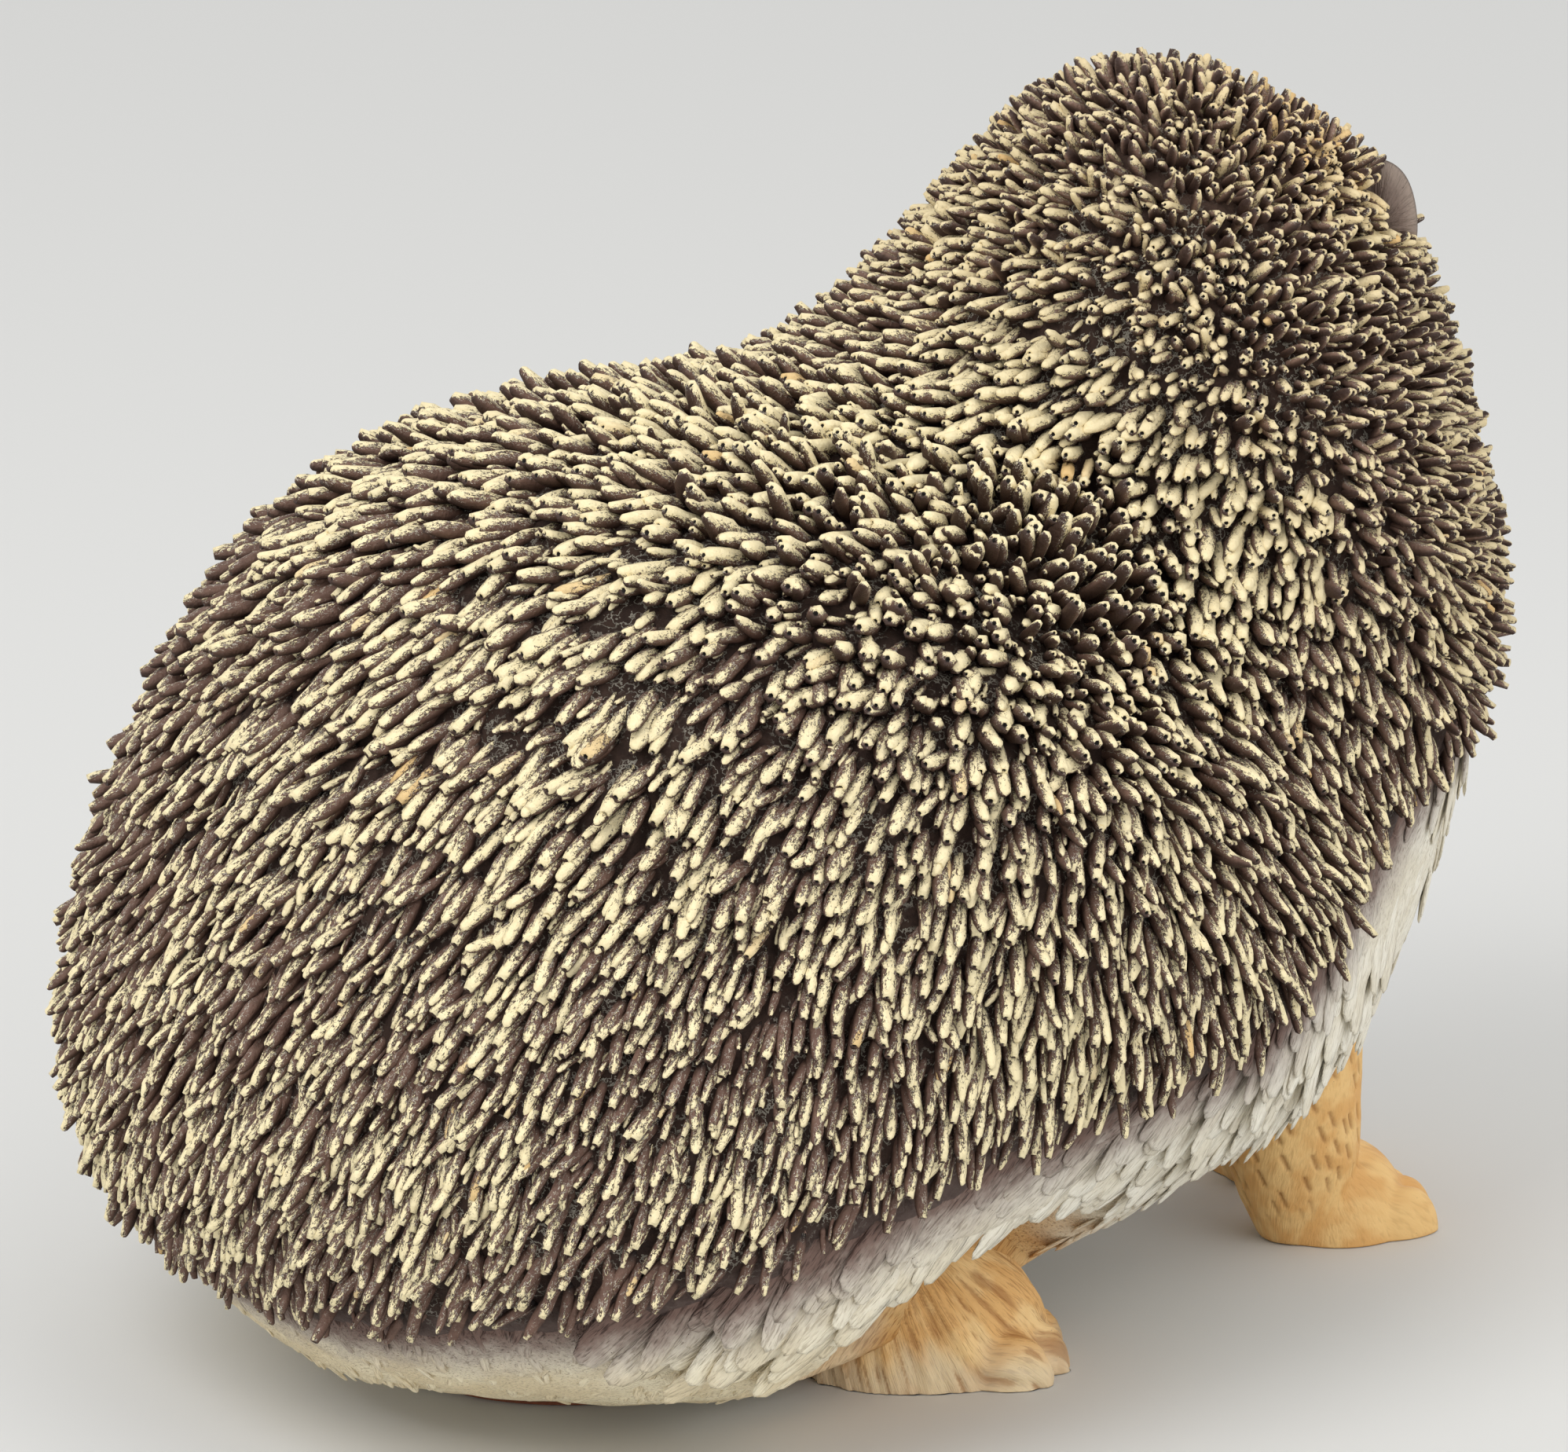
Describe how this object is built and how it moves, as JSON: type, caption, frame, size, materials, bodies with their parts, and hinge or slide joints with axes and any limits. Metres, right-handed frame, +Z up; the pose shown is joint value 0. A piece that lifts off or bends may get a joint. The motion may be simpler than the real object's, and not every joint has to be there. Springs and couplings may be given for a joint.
{
  "type": "hedgehog figurine",
  "caption": "Hollow cast ornament of a sitting hedgehog with a raised, turned head and a coat of stout quills. It stands on a flat padded base.",
  "frame": {"origin": "centre of the flat pad under the casting, on the ground", "axes": "+Z up; the body faces -Y, with the animal's left at +X; the head is turned to +X"},
  "size_m": [0.2024, 0.2669, 0.2089],
  "materials": {
    "fur_resin": "painted matte resin, carved fur",
    "quill_resin": "painted matte resin, brown with cream dry-brushing",
    "face_resin": "painted matte resin, carved fur",
    "gloss_black": "glossy black",
    "ear_resin": "painted matte resin",
    "leg_resin": "painted matte resin, carved fur",
    "plain_resin": "unpainted matte resin",
    "bung_rubber": "matte rubber",
    "pad_rubber": "matte reddish-brown pad"
  },
  "bodies": {
    "root": {"body": "fur_resin", "coat_rump": "quill_resin", "coat_left_flank": "quill_resin", "coat_right_flank": "quill_resin", "coat_left_shoulder": "quill_resin", "coat_right_shoulder": "quill_resin", "coat_crown": "quill_resin", "face": "face_resin", "nose": "gloss_black", "left_eye": "gloss_black", "right_eye": "gloss_black", "left_ear": "ear_resin", "right_ear": "ear_resin", "left_foreleg": "leg_resin", "right_foreleg": "leg_resin", "left_hind_foot": "leg_resin", "right_hind_foot": "leg_resin", "base_plate": "plain_resin", "vent_bung": "bung_rubber", "base_pad": "pad_rubber"}
  },
  "joints": []
}
